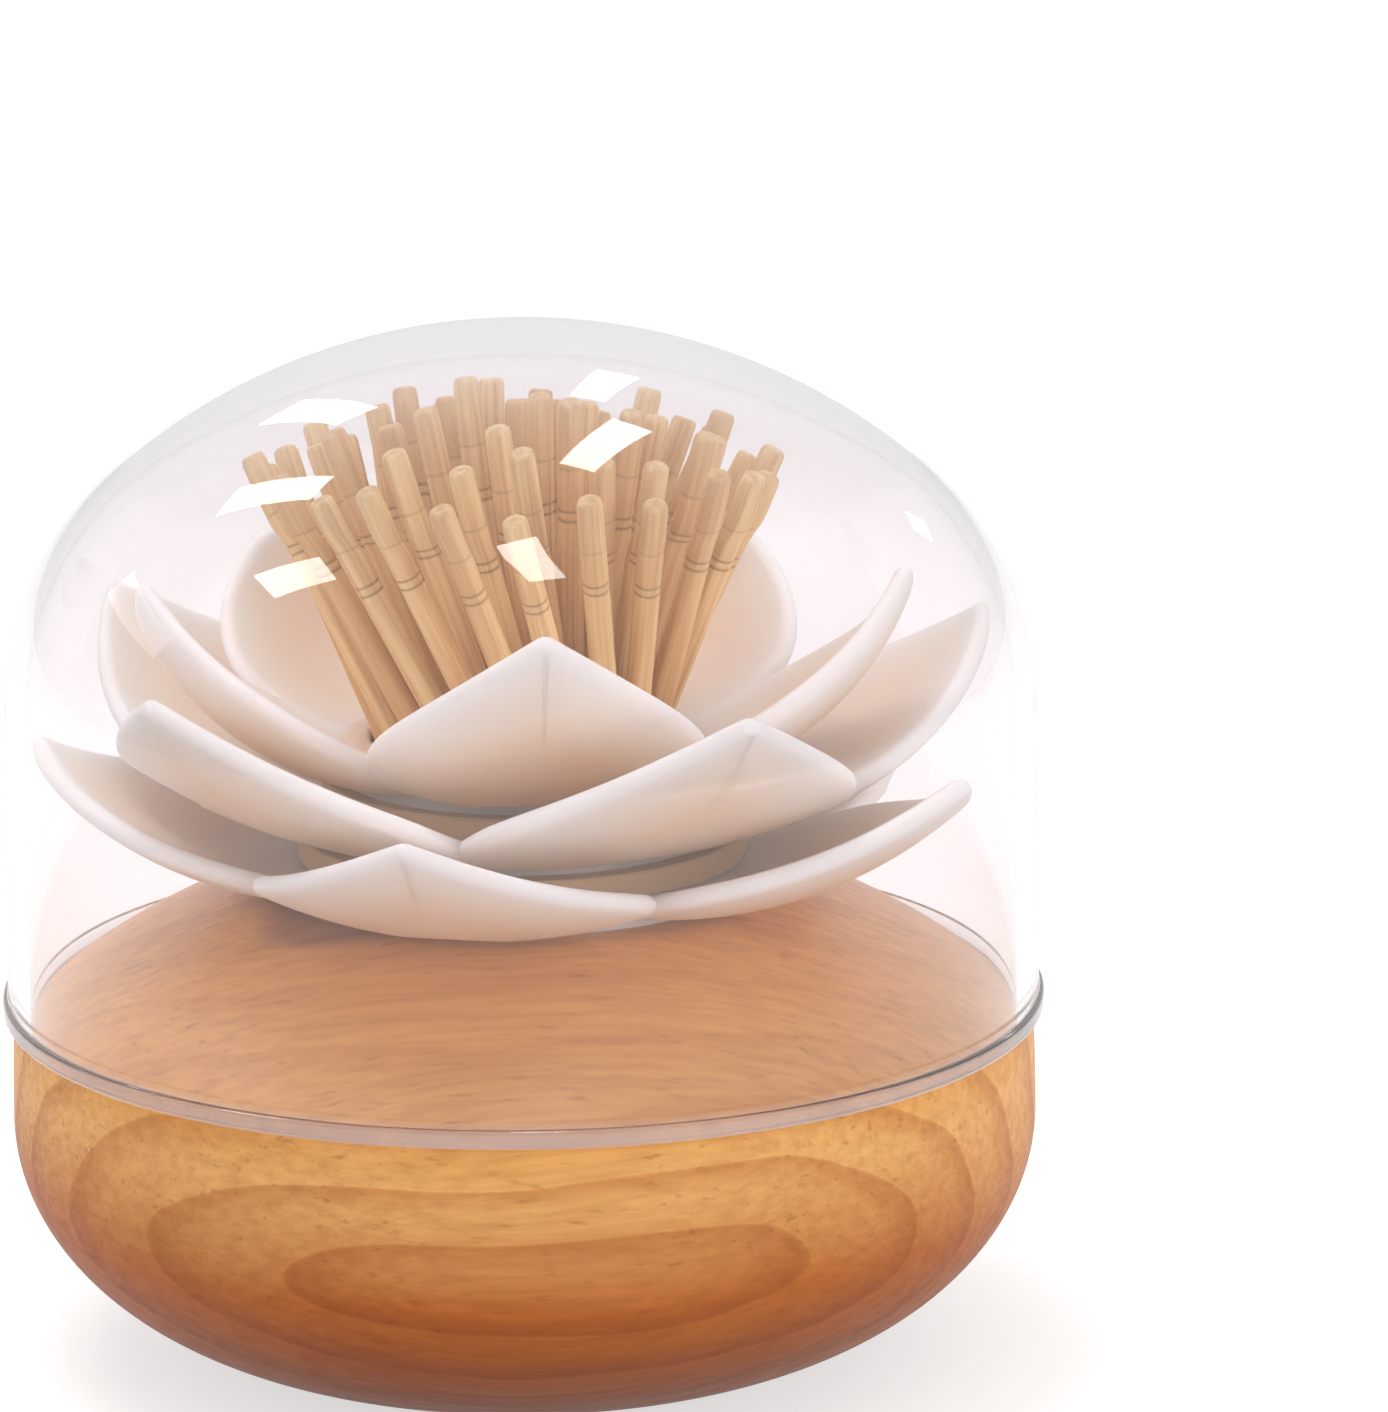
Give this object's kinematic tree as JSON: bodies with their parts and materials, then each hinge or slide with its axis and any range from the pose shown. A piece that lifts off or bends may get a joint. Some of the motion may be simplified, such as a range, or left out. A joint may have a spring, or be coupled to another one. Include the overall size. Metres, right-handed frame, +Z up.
{
  "type": "toothpick dispenser",
  "caption": "Toothpick holder with a round wooden base, a white lotus flower round a pick cup, fanned wooden picks and a clear lift-off dome.",
  "frame": {"origin": "centre of the underside of the anti-slip pad, on the table", "axes": "+Z up along the turning axis of the base, -Y towards the front of the flower"},
  "size_m": [0.1, 0.1, 0.0999],
  "materials": {
    "turned_wood": "satin oiled",
    "petal_plastic": "satin",
    "clear_plastic": "clear polished",
    "cup_plastic": "satin",
    "pick_wood": "raw",
    "pad_rubber": "matte",
    "steel": "satin"
  },
  "bodies": {
    "stand": {"base": "turned_wood", "base_pad": "pad_rubber", "cup_screw": "steel", "inner_petals": "petal_plastic", "lower_petals": "petal_plastic", "lower_spacer": "turned_wood", "middle_petals": "petal_plastic", "pick_cup": "cup_plastic", "screw_washer": "steel", "toothpick_centre": "pick_wood", "toothpick_outer_01": "pick_wood", "toothpick_outer_02": "pick_wood", "toothpick_outer_03": "pick_wood", "toothpick_outer_04": "pick_wood", "toothpick_outer_05": "pick_wood", "toothpick_outer_06": "pick_wood", "toothpick_outer_07": "pick_wood", "toothpick_outer_08": "pick_wood", "toothpick_outer_09": "pick_wood", "toothpick_outer_10": "pick_wood", "toothpick_outer_11": "pick_wood", "toothpick_outer_12": "pick_wood", "toothpick_outer_13": "pick_wood", "toothpick_outer_14": "pick_wood", "toothpick_outer_15": "pick_wood", "toothpick_outer_16": "pick_wood", "toothpick_outer_17": "pick_wood", "toothpick_outer_18": "pick_wood", "toothpick_outer_19": "pick_wood", "toothpick_outer_20": "pick_wood", "toothpick_outer_21": "pick_wood", "toothpick_outer_22": "pick_wood", "toothpick_second_01": "pick_wood", "toothpick_second_02": "pick_wood", "toothpick_second_03": "pick_wood", "toothpick_second_04": "pick_wood", "toothpick_second_05": "pick_wood", "toothpick_second_06": "pick_wood", "toothpick_second_07": "pick_wood", "toothpick_second_08": "pick_wood", "toothpick_second_09": "pick_wood", "toothpick_second_10": "pick_wood", "toothpick_second_11": "pick_wood", "toothpick_second_12": "pick_wood", "toothpick_second_13": "pick_wood", "toothpick_second_14": "pick_wood", "toothpick_second_15": "pick_wood", "toothpick_second_16": "pick_wood", "toothpick_second_17": "pick_wood", "toothpick_second_18": "pick_wood", "toothpicks_fourth_ring": "pick_wood", "toothpicks_third_ring": "pick_wood", "upper_spacer": "turned_wood"},
    "dome": {"dome": "clear_plastic"}
  },
  "joints": [
    {"name": "dome_lift", "type": "slide", "parent": "stand", "child": "dome", "axis": [0, 0, 1], "range_m": [0, 0.1]}
  ]
}
